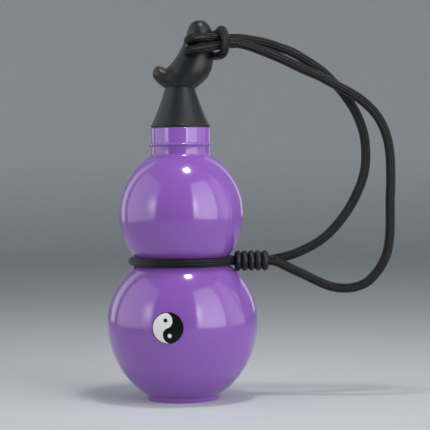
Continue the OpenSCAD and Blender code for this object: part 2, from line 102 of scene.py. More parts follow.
# Cord routes: x, y, height above the slider's line
FRONT_POINTS = [
    (64.6, -3.8, 0), (70.5, -4.0, -1.0), (77, -4.0, -4.0), (84, -4.5, -7.5), (92.5, -4.5, -11.5),
    (101.5, -4.5, -16.0), (110, -4.5, -19.5), (119, -5.0, -21.0), (128, -5.0, -20.5),
    (137, -5.5, -17.0), (143.5, -5.5, -11.0), (148.5, -6.0, -4.0), (152.5, -6.0, 5.0),
    (154.5, -6.5, 17.0), (155, -7.0, 30.5), (155, -7.5, 43.5), (155.5, -8.0, 55.5),
    (155.5, -8.5, 67.5), (155, -8.5, 79.5), (153, -9.0, 90.5), (149.5, -9.5, 100),
    (144, -9.5, 109), (136, -10, 117), (127.5, -10.5, 123), (118.5, -10.5, 128),
    (104, -11, 136), (95, -11.5, 140), (86.5, -11.5, 144), (77.5, -11.5, 148.5),
    (68.5, -11.5, 152.5), (60, -12, 156), (52, -12, 159), (44, -12, 161.2),
]
BACK_POINTS = [
    (64.6, 3.8, 0), (70.5, 3.8, 1.0), (76, 3.5, 2.2), (82, 3.5, 3.7), (88.5, 3.5, 6.2),
    (97.5, 3.5, 10.5), (106, 3.5, 16.0), (113.5, 3.0, 23.0), (121, 2.5, 32.0),
    (127, 2.5, 41.0), (131.5, 2.0, 50.0), (135, 2.0, 58.5), (137.5, 1.5, 69.0),
    (138, 1.0, 79.5), (137, 0.5, 91.5), (133.5, 0, 103.5), (128, -0.5, 114.5),
    (121, -1.0, 124.5), (114, -1.5, 132.5), (108, -2.0, 138.5), (101, -2.5, 144),
    (92.5, -3.0, 149.5), (84, -3.5, 154.5), (75, -4.0, 158), (66.5, -4.0, 161),
    (59, -4.5, 162.8), (51.5, -5.0, 164.2), (44, -5.6, 165.3),
]
ROUTE_RISE = 132.0
# The hitch: x, y, height above the cone's top
HITCH_POINTS = [
    (44, -5.6, 33.3), (36.5, -6.4, 33.3), (32, -8, 33.2), (27, -11.2, 33.6), (21, -13.6, 33.9),
    (14.5, -14.7, 33.7), (9.4, -14.6, 33), (6.8, -12.6, 32), (7.5, -8.6, 31.3), (9.2, 0, 31.1),
    (9.2, 9, 31.1), (10.4, 13, 31.4), (14, 14.2, 32.2), (19, 13.6, 34.2), (24, 10, 36.6),
    (28, 5.5, 37.8), (30, 0, 38.9), (31, -6, 39.6), (32.2, -11.6, 38.6), (33.4, -16.2, 35.2),
    (34.2, -18.8, 31.4), (34, -19.1, 27.6), (32.9, -17.2, 22.8), (31.4, -12, 21.2),
    (30.2, -6, 21.1), (29.6, 0, 21.3), (28, 6.4, 21.5), (23.6, 12, 21.9), (17, 15.2, 22.8),
    (10.6, 16.2, 23.4), (6.6, 14, 24), (6, 9.4, 24.1), (6, 0, 24.1), (6, -9, 24.1),
    (5.8, -13.6, 24.2), (9.2, -15.8, 24.5), (14, -15.9, 25.1), (20, -15.3, 26), (26, -13.9, 27.2),
    (31, -12.8, 28.1), (36.5, -12.2, 29), (44, -12, 29.2),
]
# The stem's rings: upper left point, lower right point (x, height above the
# cone's top), half depth
STEM_RINGS = [
    (-20.2, 8.6, -20.2, 7.6, 1.2),
    (-19.6, 11.0, -19.8, 5.4, 4.6),
    (-17.8, 13.2, -17.8, 2.8, 7.4),
    (-15.6, 14.0, -15.4, 0.4, 8.8),
    (-12.8, 13.2, -11.6, -2.4, 9.8),
    (-10.6, 12.2, -6.6, -5.0, 11.0),
    (-8.8, 13.0, -0.5, -6.8, 12.4),
    (-7.0, 14.6, 6.5, -6.6, 13.4),
    (-5.2, 16.8, 13.6, -1.4, 14.0),
    (-3.4, 19.2, 19.7, 3.8, 14.0),
    (-1.4, 22.0, 23.1, 9.8, 13.4),
    (0.3, 25.0, 24.9, 15.8, 12.4),
    (1.8, 28.0, 25.4, 22.0, 11.4),
    (3.2, 31.0, 25.4, 27.0, 10.7),
    (4.4, 34.0, 25.1, 32.0, 10.3),
    (5.2, 37.0, 24.8, 36.5, 10.1),
    (6.0, 40.0, 24.1, 40.0, 9.7),
    (7.3, 43.0, 22.8, 43.0, 8.6),
    (9.2, 45.4, 20.8, 45.4, 6.8),
    (11.4, 46.8, 18.6, 46.8, 4.4),
    (13.8, 47.4, 16.0, 47.4, 1.6),
]
HOLE_R, HOLE_LEAN, HOLE_HALF, HOLE_X, HOLE_Z = 3.5, 25.0, 3.9, 7.6, 27.6
EMBLEM_R, EMBLEM_Z, EMBLEM_TURN, EMBLEM_LEAN = 11.4, 58.0, -10.0, 15.0


# The settings that the panel shows
class GourdShellSettings(bpy.types.PropertyGroup):
    segments: IntProperty(name="Segments", description="Faces around the bottle", default=160, min=48, max=256)
    colour: FloatVectorProperty(
        name="Shell colour", description="Plastic of the bottle", subtype="COLOR", size=4,
        default=(0.245, 0.089, 0.435, 1.0), min=0, max=1)
    gloss: FloatProperty(
        name="Roughness", description="Roughness of the moulded surface", default=0.16, min=0.02, max=1,
        subtype="FACTOR")


class GourdCapSettings(bpy.types.PropertyGroup):
    colour: FloatVectorProperty(
        name="Cap colour", description="Plastic of the cone and the stem", subtype="COLOR", size=4,
        default=(0.009, 0.0095, 0.0105, 1.0), min=0, max=1)
    stem_sides: IntProperty(name="Stem sides", description="Faces around the stem", default=72, min=24, max=128)


class GourdCordSettings(bpy.types.PropertyGroup):
    colour: FloatVectorProperty(
        name="Cord colour", description="Yarn of the braid", subtype="COLOR", size=4,
        default=(0.0095, 0.0095, 0.0105, 1.0), min=0, max=1)
    carriers: IntProperty(name="Yarns", description="Columns of stitches around the cord", default=10, min=6, max=24)
    stitch: FloatProperty(
        name="Stitch length", description="Length of one stitch along the cord", default=0.0018, min=0.001,
        max=0.01, subtype="DISTANCE", unit="LENGTH")
    sides: IntProperty(name="Sides", description="Faces around the cord", default=32, min=12, max=64)


class GourdStudioSettings(bpy.types.PropertyGroup):
    floor: FloatVectorProperty(
        name="Floor", description="Colour of the floor and backdrop", subtype="COLOR", size=4,
        default=(0.66, 0.68, 0.70, 1.0), min=0, max=1)
    distance: FloatProperty(
        name="Camera distance", description="From the lens to the bottle's axis", default=1.24, min=0.3, max=5,
        subtype="DISTANCE", unit="LENGTH")
    lens: FloatProperty(name="Lens", description="Focal length in millimetres", default=139.2, min=20, max=300)


# Shader nodes and materials
def math_node(tree, kind, a, b=None, c=None, clamp=False):
    """A Math node fed by numbers or sockets; gives its output socket."""
    node = tree.nodes.new("ShaderNodeMath")
    node.operation = kind
    node.use_clamp = clamp
    for i, value in enumerate((a, b, c)):
        if value is None:
            continue
        if hasattr(value, "is_output"):
            tree.links.new(value, node.inputs[i])
        else:
            node.inputs[i].default_value = value
    return node.outputs[0]


def new_group(name, inputs, outputs):
    """A shader node group with named float, colour or vector sockets."""
    tree = bpy.data.node_groups.new(name, "ShaderNodeTree")
    for label, kind, default in inputs:
        socket = tree.interface.new_socket(name=label, in_out="INPUT", socket_type=kind)
        if default is not None:
            socket.default_value = default
    for label, kind in outputs:
        tree.interface.new_socket(name=label, in_out="OUTPUT", socket_type=kind)
    return tree, tree.nodes.new("NodeGroupInput"), tree.nodes.new("NodeGroupOutput")


def fine_grain_group():
    """Moulded grain: small bumps, a slow tone change and a roughness change."""
    tree, start, end = new_group(
        "Fine Grain",
        [("Vector", "NodeSocketVector", None), ("Grain Scale", "NodeSocketFloat", 2200.0),
         ("Drift Scale", "NodeSocketFloat", 28.0), ("Base Roughness", "NodeSocketFloat", 0.4),
         ("Roughness Range", "NodeSocketFloat", 0.1), ("Tone Range", "NodeSocketFloat", 0.1)],
        [("Height", "NodeSocketFloat"), ("Roughness", "NodeSocketFloat"), ("Tone", "NodeSocketFloat")])
    fine = tree.nodes.new("ShaderNodeTexNoise")
    fine.inputs["Detail"].default_value = 3
    slow = tree.nodes.new("ShaderNodeTexNoise")
    slow.inputs["Detail"].default_value = 4
    for noise, scale in ((fine, "Grain Scale"), (slow, "Drift Scale")):
        tree.links.new(start.outputs["Vector"], noise.inputs["Vector"])
        tree.links.new(start.outputs[scale], noise.inputs["Scale"])
    tree.links.new(fine.outputs[0], end.inputs["Height"])
    drift = math_node(tree, "SUBTRACT", slow.outputs[0], 0.5)
    rough = math_node(tree, "MULTIPLY_ADD", drift, start.outputs["Roughness Range"],
                      start.outputs["Base Roughness"])
    tree.links.new(rough, end.inputs["Roughness"])
    tone = math_node(tree, "MULTIPLY_ADD", drift, start.outputs["Tone Range"], 1.0)
    tree.links.new(tone, end.inputs["Tone"])
    return tree


def braid_group():
    """A round braid on a cord's own UV map: columns of slanting stitches that run along the cord, with a Shade output
    of painted shade in the grooves between yarns.
    """
    tree, start, end = new_group(
        "Braid",
        [("UV", "NodeSocketVector", None), ("Yarns", "NodeSocketFloat", 16.0), ("Stitches", "NodeSocketFloat", 380.0)],
        [("Height", "NodeSocketFloat"), ("Shade", "NodeSocketFloat")])
    split = tree.nodes.new("ShaderNodeSeparateXYZ")
    tree.links.new(start.outputs["UV"], split.inputs[0])
    around = math_node(tree, "MULTIPLY", split.outputs[0], start.outputs["Yarns"])
    along = math_node(tree, "MULTIPLY", split.outputs[1], start.outputs["Stitches"])
    across = math_node(tree, "FRACT", around)
    odd = math_node(tree, "MODULO", math_node(tree, "FLOOR", around), 2.0)
    slant = math_node(tree, "MULTIPLY_ADD", odd, 2.0, -1.0)
    phase = math_node(tree, "MULTIPLY_ADD", slant, math_node(tree, "MULTIPLY", across, 0.6), along)
    stitch = math_node(tree, "ABSOLUTE", math_node(tree, "SINE", math_node(tree, "MULTIPLY", phase, math.pi)))
    column = math_node(tree, "POWER", math_node(tree, "SINE", math_node(tree, "MULTIPLY", across, math.pi)), 0.8)
    height = math_node(tree, "MULTIPLY", column, math_node(tree, "MULTIPLY_ADD", stitch, 0.45, 0.55))
    tree.links.new(height, end.inputs["Height"])
    # Painted shade and sheen: the colour factor is lightest on the yarn tops and falls to 0.04 in the grooves between
    # yarns
    shade = math_node(tree, "MULTIPLY_ADD", math_node(tree, "MULTIPLY", height, height), 0.96, 0.04)
    tree.links.new(shade, end.inputs["Shade"])
    return tree


def painted_reflection_patch_group():
    """A painted warm reflection: a ragged round mask about a point of the piece."""
    tree, start, end = new_group(
        "Painted Reflection Patch",
        [("Vector", "NodeSocketVector", None), ("Centre", "NodeSocketVector", None),
         ("Radius", "NodeSocketFloat", 0.005)],
        [("Mask", "NodeSocketFloat")])
    far = tree.nodes.new("ShaderNodeVectorMath")
    far.operation = "DISTANCE"
    tree.links.new(start.outputs["Vector"], far.inputs[0])
    tree.links.new(start.outputs["Centre"], far.inputs[1])
    noise = tree.nodes.new("ShaderNodeTexNoise")
    noise.inputs["Scale"].default_value = 420
    noise.inputs["Detail"].default_value = 5
    tree.links.new(start.outputs["Vector"], noise.inputs["Vector"])
    share = math_node(tree, "DIVIDE", far.outputs["Value"], start.outputs["Radius"])
    ragged = math_node(tree, "MULTIPLY_ADD", noise.outputs[0], 0.9, share)
    mask = math_node(tree, "SUBTRACT", 1.7, math_node(tree, "MULTIPLY", ragged, 1.2), clamp=True)
    tree.links.new(mask, end.inputs["Mask"])
    return tree


def groups():
    """The shared node groups, each built once."""
    for name, make in (("Fine Grain", fine_grain_group), ("Braid", braid_group), ("Painted Reflection Patch", painted_reflection_patch_group)):
        if name not in bpy.data.node_groups:
            make()
    return bpy.data.node_groups


def new_material(name):
    """An empty node material; gives it with its tree and shader."""
    material = bpy.data.materials.new(name)
    material.use_nodes = True
    tree = material.node_tree
    shader = tree.nodes["Principled BSDF"]
    return material, tree, shader


def add_bump(tree, shader, height, strength, distance):
    """Feeds a height into the shader's normal."""
    bump = tree.nodes.new("ShaderNodeBump")
    bump.inputs["Strength"].default_value = strength
    bump.inputs["Distance"].default_value = distance
    tree.links.new(height, bump.inputs["Height"])
    tree.links.new(bump.outputs[0], shader.inputs["Normal"])


def tinted(tree, colour, factor):
    """A colour times a slowly changing number."""
    mix = tree.nodes.new("ShaderNodeMix")
    mix.data_type = "RGBA"
    mix.blend_type = "MULTIPLY"
    mix.inputs["Factor"].default_value = 1.0
    mix.inputs["A"].default_value = colour
    tree.links.new(factor, mix.inputs["B"])
    return mix.outputs["Result"]


def moulded_material(name, colour, roughness, grain=2200.0, drift=28.0, rough_range=0.1, tone_range=0.12,
                     bump=0.08, coat=0.0, coat_roughness=0.05, specular=0.5):
    """Moulded plastic or rubber: drifting tone and roughness over a fine grain."""
    material, tree, shader = new_material(name)
    place = tree.nodes.new("ShaderNodeTexCoord")
    grain_node = tree.nodes.new("ShaderNodeGroup")
    grain_node.node_tree = groups()["Fine Grain"]
    tree.links.new(place.outputs["Object"], grain_node.inputs["Vector"])
    for label, value in (("Grain Scale", grain), ("Drift Scale", drift), ("Base Roughness", roughness),
                         ("Roughness Range", rough_range), ("Tone Range", tone_range)):
        grain_node.inputs[label].default_value = value
    tree.links.new(tinted(tree, colour, grain_node.outputs["Tone"]), shader.inputs["Base Color"])
    tree.links.new(grain_node.outputs["Roughness"], shader.inputs["Roughness"])
    shader.inputs["Coat Weight"].default_value = coat
    shader.inputs["Coat Roughness"].default_value = coat_roughness
    shader.inputs["Specular IOR Level"].default_value = specular
    add_bump(tree, shader, grain_node.outputs["Height"], bump, 0.0001)
    return material


def braid_material(name, colour, carriers, stitch):
    """Black braided yarn, lit along its length."""
    material, tree, shader = new_material(name)
    uv = tree.nodes.new("ShaderNodeUVMap")
    uv.uv_map = "along"
    braid = tree.nodes.new("ShaderNodeGroup")
    braid.node_tree = groups()["Braid"]
    tree.links.new(uv.outputs[0], braid.inputs["UV"])
    braid.inputs["Yarns"].default_value = carriers
    braid.inputs["Stitches"].default_value = 1.0 / stitch
    # The braid's painted groove shade and lighter yarn tops darken and lighten the yarn colour
    tree.links.new(tinted(tree, colour, braid.outputs["Shade"]), shader.inputs["Base Color"])
    shader.inputs["Roughness"].default_value = 0.3
    shader.inputs["Specular IOR Level"].default_value = 0.3
    add_bump(tree, shader, braid.outputs["Height"], 1.0, 0.0006)
    return material


def add_painted_reflection(material, patches, colour):
    """Paints warm reflections into a moulded material's colour inside patches: rows of centre and radius in metres."""
    tree = material.node_tree
    shader = tree.nodes["Principled BSDF"]
    place = tree.nodes.new("ShaderNodeTexCoord")
    tone = shader.inputs["Base Color"].links[0].from_socket
    for centre, radius in patches:
        patch = tree.nodes.new("ShaderNodeGroup")
        patch.node_tree = groups()["Painted Reflection Patch"]
        tree.links.new(place.outputs["Object"], patch.inputs["Vector"])
        patch.inputs["Centre"].default_value = centre
        patch.inputs["Radius"].default_value = radius
        mix = tree.nodes.new("ShaderNodeMix")
        mix.data_type = "RGBA"
        mix.inputs["B"].default_value = colour
        tree.links.new(patch.outputs["Mask"], mix.inputs["Factor"])
        tree.links.new(tone, mix.inputs["A"])
        tone = mix.outputs["Result"]
    tree.links.new(tone, shader.inputs["Base Color"])


# Meshes and paths
def new_object(name, verts, faces, material=None, smooth=True):
    """A mesh object at the origin, from points in metres."""
    mesh = bpy.data.meshes.new(name)
    mesh.from_pydata([tuple(v) for v in verts], [], faces)
    mesh.update()
    obj = bpy.data.objects.new(name, mesh)
    bpy.context.scene.collection.objects.link(obj)
    if material:
        mesh.materials.append(material)
    if smooth:
        mesh.shade_smooth()
    return obj


def baked(obj):
    """Turns what the modifiers make into a plain mesh."""
    graph = bpy.context.evaluated_depsgraph_get()
    mesh = bpy.data.meshes.new_from_object(obj.evaluated_get(graph))
    mesh.name = obj.name
    obj.modifiers.clear()
    old, obj.data = obj.data, mesh
    bpy.data.meshes.remove(old)
    return obj


def tidy_normals(obj, merge=1e-6):
    """Merges doubles and turns every face outwards."""
    work = bmesh.new()
    work.from_mesh(obj.data)
    bmesh.ops.remove_doubles(work, verts=work.verts, dist=merge)
    bmesh.ops.recalc_face_normals(work, faces=work.faces)
    work.to_mesh(obj.data)
    work.free()
    obj.data.update()


def smooth_by_angle(obj, degrees):
    """Smooth shading with sharp edges above an angle."""
    obj.data.shade_smooth()
    obj.data.set_sharp_from_angle(angle=math.radians(degrees))


def mixed(a, b, c, d, t):
    """Catmull-Rom between b and c."""
    return tuple(0.5 * (2 * q + (r - p) * t + (2 * p - 5 * q + 4 * r - s) * t * t
                        + (3 * q - p - 3 * r + s) * t ** 3) for p, q, r, s in zip(a, b, c, d))


def smooth_rows(rows, steps):
    """Rows of numbers with more rows on the smooth curve between them."""
    out = []
    last = len(rows) - 1
    for i in range(last):
        for k in range(steps):
            out.append(mixed(rows[max(i - 1, 0)], rows[i], rows[i + 1], rows[min(i + 2, last)], k / steps))
    out.append(tuple(float(x) for x in rows[last]))
    return out


def even_path(points, step):
    """The points spaced evenly along their own line."""
    pts = [Vector(p) for p in points]
    marks = [0.0]
    for a, b in zip(pts, pts[1:]):
        marks.append(marks[-1] + (b - a).length)
    count = max(2, round(marks[-1] / step))
    out, j = [], 0
    for k in range(count + 1):
        want = marks[-1] * k / count
        while j < len(pts) - 2 and marks[j + 1] < want:
            j += 1
        span = marks[j + 1] - marks[j]
        out.append(pts[j].lerp(pts[j + 1], (want - marks[j]) / span if span else 0.0))
    return out


def path_length(path):
    """Length of a row of points."""
    return sum((b - a).length for a, b in zip(path, path[1:]))


def frames_along(path):
    """Direction and side vector at each point, carried without twist."""
    runs = [(path[min(i + 1, len(path) - 1)] - path[max(i - 1, 0)]).normalized() for i in range(len(path))]
    side = Vector((0, 1, 0))
    out = []
    for run in runs:
        side = (side - run * side.dot(run)).normalized()
        out.append((run, side.copy()))
    return out


def cord_mesh(name, path, radii, sides, material, start_length=0.0):
    """A closed round tube along a path in metres, with a UV map that runs around it and along it."""
    verts, faces, uvs = [], [], []
    marks = [start_length]
    for a, b in zip(path, path[1:]):
        marks.append(marks[-1] + (b - a).length)
    for (run, side), point, radius in zip(frames_along(path), path, radii):
        other = run.cross(side)
        for j in range(sides):
            a = 2 * math.pi * j / sides
            verts.append(point + radius * (math.cos(a) * side + math.sin(a) * other))
    rows = len(path)
    for i in range(rows - 1):
        for j in range(sides):
            k = (j + 1) % sides
            faces.append((i * sides + j, i * sides + k, (i + 1) * sides + k, (i + 1) * sides + j))
            uvs += [(j / sides, marks[i]), ((j + 1) / sides, marks[i]),
                    ((j + 1) / sides, marks[i + 1]), (j / sides, marks[i + 1])]
    for centre, row, turn in ((path[0], 0, 1), (path[-1], rows - 1, -1)):
        middle = len(verts)
        verts.append(centre)
        for j in range(sides):
            k = (j + 1) % sides
            a, b = row * sides + j, row * sides + k
            faces.append((middle, b, a) if turn == 1 else (middle, a, b))
            edge = marks[0] if row == 0 else marks[-1]
            uvs += [(j / sides, edge)] * 3
    obj = new_object(name, verts, faces, material)
    layer = obj.data.uv_layers.new(name="along")
    layer.data.foreach_set("uv", [c for uv in uvs for c in uv])
    smooth_by_angle(obj, 60)
    return obj


# Forms built by geometry nodes
def turned_form_tree():
    """Geometry nodes: turns a half section, given as a row of points, round the z axis."""
    tree = bpy.data.node_groups.new("Turned Form", "GeometryNodeTree")
    face = tree.interface
    face.new_socket(name="Geometry", in_out="INPUT", socket_type="NodeSocketGeometry")
    face.new_socket(name="Segments", in_out="INPUT", socket_type="NodeSocketInt").default_value = 96
    face.new_socket(name="Material", in_out="INPUT", socket_type="NodeSocketMaterial")
    face.new_socket(name="Geometry", in_out="OUTPUT", socket_type="NodeSocketGeometry")
    nodes, link = tree.nodes, tree.links.new
    start, end = nodes.new("NodeGroupInput"), nodes.new("NodeGroupOutput")
    size = nodes.new("GeometryNodeAttributeDomainSize")
    link(start.outputs["Geometry"], size.inputs[0])
    columns = math_node(tree, "ADD", start.outputs["Segments"], 1.0)
    grid = nodes.new("GeometryNodeMeshGrid")
    link(columns, grid.inputs["Vertices X"])
    link(size.outputs["Point Count"], grid.inputs["Vertices Y"])
    index = nodes.new("GeometryNodeInputIndex")
    column = math_node(tree, "FLOOR", math_node(tree, "DIVIDE", math_node(tree, "ADD", index.outputs[0], 0.5),
                                                size.outputs["Point Count"]))
    row = math_node(tree, "SUBTRACT", index.outputs[0],
                    math_node(tree, "MULTIPLY", column, size.outputs["Point Count"]))
    angle = math_node(tree, "DIVIDE", math_node(tree, "MULTIPLY", column, 2 * math.pi), start.outputs["Segments"])
    place = nodes.new("GeometryNodeInputPosition")
    sample = nodes.new("GeometryNodeSampleIndex")
    sample.data_type = "FLOAT_VECTOR"
    link(start.outputs["Geometry"], sample.inputs["Geometry"])
    link(place.outputs[0], sample.inputs["Value"])
    link(row, sample.inputs["Index"])
    split = nodes.new("ShaderNodeSeparateXYZ")
    link(sample.outputs[0], split.inputs[0])
    join = nodes.new("ShaderNodeCombineXYZ")
    link(math_node(tree, "MULTIPLY", split.outputs[0], math_node(tree, "COSINE", angle)), join.inputs[0])
    link(math_node(tree, "MULTIPLY", split.outputs[0], math_node(tree, "SINE", angle)), join.inputs[1])
    link(split.outputs[2], join.inputs[2])
    put = nodes.new("GeometryNodeSetPosition")
    link(grid.outputs["Mesh"], put.inputs["Geometry"])
    link(join.outputs[0], put.inputs["Position"])
    merge = nodes.new("GeometryNodeMergeByDistance")
    merge.inputs["Distance"].default_value = 1e-6
    link(put.outputs[0], merge.inputs["Geometry"])
    real = nodes.new("GeometryNodeRealizeInstances")
    link(merge.outputs[0], real.inputs[0])
    paint = nodes.new("GeometryNodeSetMaterial")
    link(real.outputs[0], paint.inputs["Geometry"])
    link(start.outputs["Material"], paint.inputs["Material"])
    link(paint.outputs[0], end.inputs[0])
    return tree


def row_of_copies_tree():
    """Geometry nodes: repeats a piece along x."""
    tree = bpy.data.node_groups.new("Row Of Copies", "GeometryNodeTree")
    face = tree.interface
    face.new_socket(name="Geometry", in_out="INPUT", socket_type="NodeSocketGeometry")
    face.new_socket(name="Count", in_out="INPUT", socket_type="NodeSocketInt").default_value = 5
    face.new_socket(name="Pitch", in_out="INPUT", socket_type="NodeSocketFloat").default_value = 0.005
    face.new_socket(name="Material", in_out="INPUT", socket_type="NodeSocketMaterial")
    face.new_socket(name="Geometry", in_out="OUTPUT", socket_type="NodeSocketGeometry")
    nodes, link = tree.nodes, tree.links.new
    start, end = nodes.new("NodeGroupInput"), nodes.new("NodeGroupOutput")
    step = nodes.new("ShaderNodeCombineXYZ")
    link(start.outputs["Pitch"], step.inputs[0])
    line = nodes.new("GeometryNodeMeshLine")
    link(start.outputs["Count"], line.inputs["Count"])
    link(step.outputs[0], line.inputs["Offset"])
    copies = nodes.new("GeometryNodeInstanceOnPoints")
    link(line.outputs[0], copies.inputs["Points"])
    link(start.outputs["Geometry"], copies.inputs["Instance"])
    real = nodes.new("GeometryNodeRealizeInstances")
    link(copies.outputs[0], real.inputs[0])
    paint = nodes.new("GeometryNodeSetMaterial")
    link(real.outputs[0], paint.inputs["Geometry"])
    link(start.outputs["Material"], paint.inputs["Material"])
    link(paint.outputs[0], end.inputs[0])
    return tree


def node_tree(name, make):
    """A geometry tree that is built once."""
    return bpy.data.node_groups.get(name) or make()


def with_nodes(obj, tree, values):
    """Runs a geometry tree on an object and bakes it."""
    modifier = obj.modifiers.new("Form", "NODES")
    modifier.node_group = tree
    keys = {s.name: s.identifier for s in tree.interface.items_tree if s.in_out == "INPUT"}
    for label, value in values.items():
        modifier[keys[label]] = value
    return baked(obj)


def turned(name, section, segments, material, sharp=35):
    """A turned piece from a closed half section in millimetres."""
    verts = [(r * MM, 0, z * MM) for r, z in section]
    mesh = bpy.data.meshes.new(name)
    mesh.from_pydata(verts, [(i, i + 1) for i in range(len(verts) - 1)], [])
    obj = bpy.data.objects.new(name, mesh)
    bpy.context.scene.collection.objects.link(obj)
    with_nodes(obj, node_tree("Turned Form", turned_form_tree), {"Segments": segments, "Material": material})
    tidy_normals(obj)
    smooth_by_angle(obj, sharp)
    return obj


# The bottle
def arc(centre, radius, a, b, n):
    """Points on an arc, angles in degrees, both ends in."""
    return [(centre[0] + radius * math.cos(math.radians(a + (b - a) * k / n)),
             centre[1] + radius * math.sin(math.radians(a + (b - a) * k / n))) for k in range(n + 1)]


def angle_to(centre, point):
    """Direction from one point to another, in degrees."""
    return math.degrees(math.atan2(point[1] - centre[1], point[0] - centre[0]))


def body_line(g, low_z, dense=1.0):
    """Half section of the bulbs from a height to the neck, drawn in by g."""
    start = -math.degrees(math.asin(min(1.0, (LOWER_Z - low_z) / (UNDER_R - g))))
    line = arc(UNDER_C, UNDER_R - g, start, 0, int(30 * dense))
    line += arc(LOWER_C, LOWER_R - g, 0, angle_to(LOWER_C, WAIST_C), int(26 * dense))[1:]
    line += arc(WAIST_C, WAIST_FILLET + g, angle_to(WAIST_C, LOWER_C) + 360,
                angle_to(WAIST_C, UPPER_C), int(14 * dense))[1:]
    line += arc(UPPER_C, UPPER_ARC - g, angle_to(UPPER_C, WAIST_C), angle_to(UPPER_C, NECK_C),
                int(44 * dense))[1:]
    line += arc(NECK_C, NECK_FILLET + g, angle_to(NECK_C, UPPER_C) + 360, 180, int(8 * dense))[1:]
    return line


def radius_at(z):
    """Radius of the lower bulb's outside at a height."""
    if z < LOWER_Z:
        return UNDER_C[0] + math.sqrt(UNDER_R ** 2 - (z - LOWER_Z) ** 2)
    return math.sqrt(LOWER_R ** 2 - (z - LOWER_Z) ** 2)


def bottle_section():
    """The bottle's whole half section: foot, outside, rim, bore and inside."""
    foot_z = LOWER_Z - math.sqrt(UNDER_R ** 2 - (FOOT_R + LOWER_FLAT) ** 2)
    line = [(0.0, FOOT_RECESS), (FOOT_R - WALL - 1.2, FOOT_RECESS), (FOOT_R - WALL - 0.4, FOOT_RECESS - 0.4),
            (FOOT_R - WALL, FOOT_RECESS - 1.2), (FOOT_R - WALL, 0.35), (FOOT_R - WALL + 0.35, 0.0)]
    line += arc((FOOT_R - 0.8, 0.8), 0.8, -90, 0, 6)
    line += [(FOOT_R, foot_z - 0.5), (FOOT_R + 0.1, foot_z - 0.1)]
    outside = body_line(0, foot_z + 0.25)
    line += outside
    line += [(NECK_R, BEAD_Z - 1.5)]
    line += [(NECK_R + 0.1, BEAD_Z - 1.2)]
    line += arc((NECK_R + 0.5, BEAD_Z), 1.1, -75, 75, 10)
    line += [(NECK_R + 0.1, BEAD_Z + 1.2), (NECK_R, BEAD_Z + 1.5), (NECK_R, RIM_Z - 0.5)]
    line += arc((NECK_R - 0.5, RIM_Z - 0.5), 0.5, 0, 90, 5)[1:]
    line += [(NECK_R - WALL + 0.4, RIM_Z), (NECK_R - WALL, RIM_Z - 0.4)]
    line += [(NECK_R - WALL, NECK_C[1])]
    inside = body_line(WALL, FOOT_RECESS + WALL, 0.6)
    line += inside[::-1][1:]
    line += [(0.0, FOOT_RECESS + WALL)]
    return line


# The emblem
def comma_outline(r, n=48):
    """The light half of the emblem, as a closed outline."""
    w, h = 0.45 * r, r / 2 + 0.12
    q = 1 - w * w / (h * h)
    rise = (math.sqrt(h * h - q * (h * h + w * w - r * r)) - h) / q
    tip = math.degrees(math.atan2(h + rise, w * math.sqrt(1 - rise * rise / (h * h))))
    sweep = math.degrees(math.asin(rise / h))

    def oval(shift, a, b):
        return [(w * x, shift + h * y) for x, y in arc((0, 0), 1, a, b, n // 2)]

    return arc((0, 0), r, tip, tip + 180, n) + oval(-h, 180 + sweep, 90)[1:] + oval(h, -90, sweep)[1:-1]


def emblem_piece(name, outlines, low, high, lean, material):
    """A thin printed piece on the lower bulb, filled from flat outlines in millimetres."""
    work = bmesh.new()
    edges = []
    for outline in outlines:
        verts = [work.verts.new((x, y, 0)) for x, y in outline]
        edges += [work.edges.new((a, b)) for a, b in zip(verts, verts[1:] + verts[:1])]
    bmesh.ops.triangle_fill(work, edges=edges, use_beauty=True)
    for _ in range(3):
        longer = [e for e in work.edges if e.calc_length() > 1.0]
        bmesh.ops.subdivide_edges(work, edges=longer, cuts=1, use_grid_fill=True)
        bmesh.ops.triangulate(work, faces=work.faces)
    c, s = math.cos(math.radians(lean)), math.sin(math.radians(lean))
    turn = Matrix.Rotation(math.radians(EMBLEM_TURN), 4, "Z")

    def on_bulb(x, y, lift):
        u, v = x * c - y * s, x * s + y * c
        z = EMBLEM_Z + v
        r = radius_at(z) + lift
        return turn @ Vector((u * MM, -math.sqrt(r * r - u * u) * MM, z * MM))

    flat = {v: (v.co.x, v.co.y) for v in work.verts}
    made = bmesh.ops.extrude_face_region(work, geom=list(work.faces))
    tops = [v for v in made["geom"] if isinstance(v, bmesh.types.BMVert)]
    raised = {v: (v.co.x, v.co.y) for v in tops}
    for v, (x, y) in flat.items():
        v.co = on_bulb(x, y, low)
    for v, (x, y) in raised.items():
        v.co = on_bulb(x, y, high)
    bmesh.ops.recalc_face_normals(work, faces=work.faces)
    mesh = bpy.data.meshes.new(name)
    work.to_mesh(mesh)
    work.free()
    obj = bpy.data.objects.new(name, mesh)
    bpy.context.scene.collection.objects.link(obj)
    mesh.materials.append(material)
    smooth_by_angle(obj, 40)
    return obj


